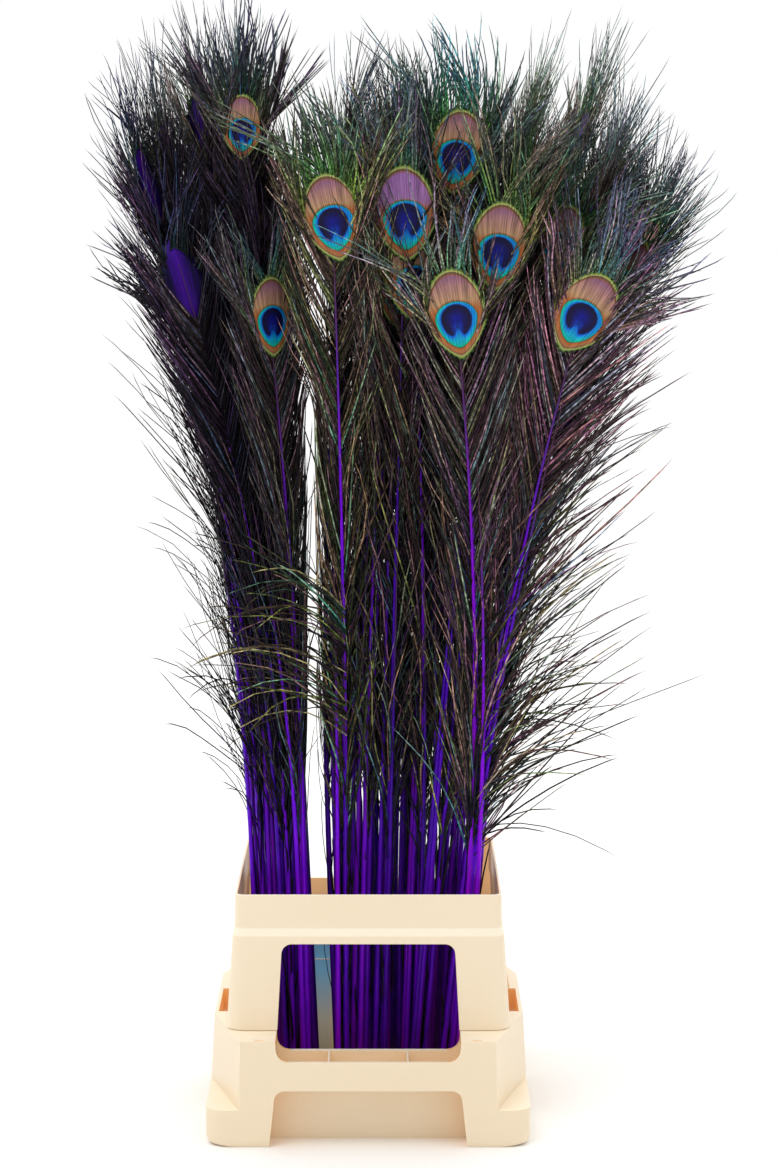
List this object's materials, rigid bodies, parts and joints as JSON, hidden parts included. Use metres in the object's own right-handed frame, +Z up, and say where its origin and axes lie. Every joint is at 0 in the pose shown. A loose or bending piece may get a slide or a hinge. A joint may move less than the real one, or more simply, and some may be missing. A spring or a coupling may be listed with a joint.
{
  "type": "peacock feathers in flower container",
  "caption": "Two bunches of violet-dyed peacock feathers with eyes and loose barbs, standing in a cream plastic flower container with a collar.",
  "frame": {"origin": "middle of the container's underside", "axes": "+Z up, the long way of the container along Y, its front with the window facing -Y"},
  "size_m": [0.608, 0.4, 1.061],
  "materials": {
    "container_plastic": "cream moulded plastic, satin",
    "collar_plastic": "cream moulded plastic, satin",
    "feather": "violet-dyed quill, iridescent barbs and eye"
  },
  "bodies": {
    "root": {"base": "container_plastic", "collar": "collar_plastic", "feather_01": "feather", "feather_02": "feather", "feather_03": "feather", "feather_04": "feather", "feather_05": "feather", "feather_06": "feather", "feather_07": "feather", "feather_08": "feather", "feather_09": "feather", "feather_10": "feather", "feather_11": "feather", "feather_12": "feather", "feather_13": "feather", "feather_14": "feather", "feather_15": "feather", "feather_16": "feather", "feather_17": "feather", "feather_18": "feather", "feather_19": "feather", "feather_20": "feather", "feather_21": "feather", "feather_22": "feather", "feather_23": "feather", "feather_24": "feather", "feather_25": "feather", "feather_26": "feather", "feather_27": "feather", "feather_28": "feather", "feather_29": "feather", "feather_30": "feather", "feather_31": "feather", "feather_32": "feather", "feather_33": "feather", "feather_34": "feather", "feather_35": "feather", "feather_36": "feather", "feather_37": "feather", "feather_38": "feather", "feather_39": "feather", "feather_40": "feather", "feather_41": "feather", "feather_42": "feather", "feather_43": "feather", "feather_44": "feather", "feather_45": "feather", "feather_46": "feather", "feather_47": "feather", "feather_48": "feather", "feather_49": "feather", "feather_50": "feather"}
  },
  "joints": []
}
